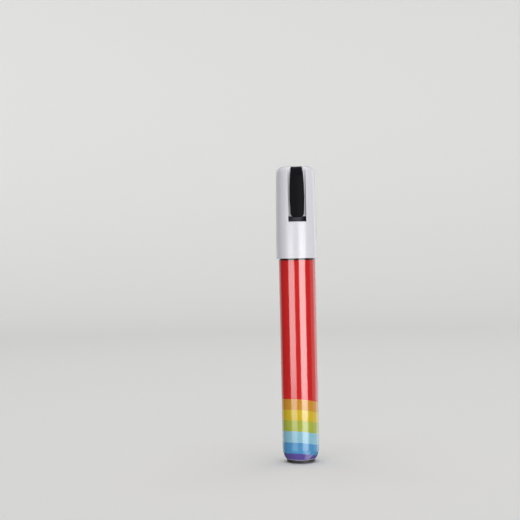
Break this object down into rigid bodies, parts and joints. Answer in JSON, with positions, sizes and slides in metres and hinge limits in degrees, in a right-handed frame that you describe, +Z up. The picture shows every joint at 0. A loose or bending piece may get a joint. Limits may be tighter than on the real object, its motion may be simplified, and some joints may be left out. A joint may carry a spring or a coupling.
{
  "type": "liquid chalk marker",
  "caption": "Capped liquid chalk marker: film-covered barrel with a valve-fed bullet nib, a pull-off cap with a flexing pocket clip, and a loose mixing ball.",
  "frame": {"origin": "on the marker's axis, at the surface that its foot stands on", "axes": "+Z up the axis from the foot to the cap, -Y towards the clip, +X to the right seen from the clip side"},
  "size_m": [0.02, 0.0202, 0.145],
  "materials": {
    "barrel_plastic": "moulded polypropylene, black",
    "printed_film": "glossy printed shrink film",
    "plug_plastic": "moulded, satin",
    "ball_steel": "polished",
    "nose_plastic": "moulded polypropylene",
    "nib_fibre": "pressed polyester fibre",
    "valve_plastic": "moulded, natural",
    "seal_rubber": "moulded rubber",
    "spring_steel": "drawn wire",
    "inner_cap_plastic": "moulded polyethylene",
    "cap_plastic": "moulded, semi-gloss",
    "clip_plastic": "moulded, satin"
  },
  "bodies": {
    "barrel_unit": {"barrel": "barrel_plastic", "film_sleeve": "printed_film", "end_plug": "plug_plastic", "nose_cone": "nose_plastic", "valve_housing": "valve_plastic", "valve_seal": "seal_rubber", "valve_cage": "valve_plastic", "valve_spring": "spring_steel"},
    "nib_unit": {"nib": "nib_fibre", "valve_stem": "valve_plastic"},
    "ball": {"mixing_ball": "ball_steel"},
    "cap": {"cap_shell": "cap_plastic", "inner_cap": "inner_cap_plastic"},
    "clip": {"pocket_clip": "clip_plastic"}
  },
  "joints": [
    {"name": "cap_pull", "type": "slide", "parent": "barrel_unit", "child": "cap", "axis": [0, 0, 1], "range_m": [0, 0.04]},
    {"name": "clip_flex", "type": "hinge", "parent": "cap", "child": "clip", "pos_m": [0, -0.004, 0.1436], "axis": [-1, 0, 0], "range_deg": [0, 5], "stiffness_Nm_per_rad": 0.5},
    {"name": "nib_press", "type": "slide", "parent": "barrel_unit", "child": "nib_unit", "axis": [0, 0, -1], "range_m": [0, 0.0025], "stiffness_N_per_m": 400, "deforming": ["valve_spring"]},
    {"name": "ball_run", "type": "slide", "parent": "barrel_unit", "child": "ball", "axis": [0, 0, 1], "range_m": [0, 0.0714]}
  ]
}
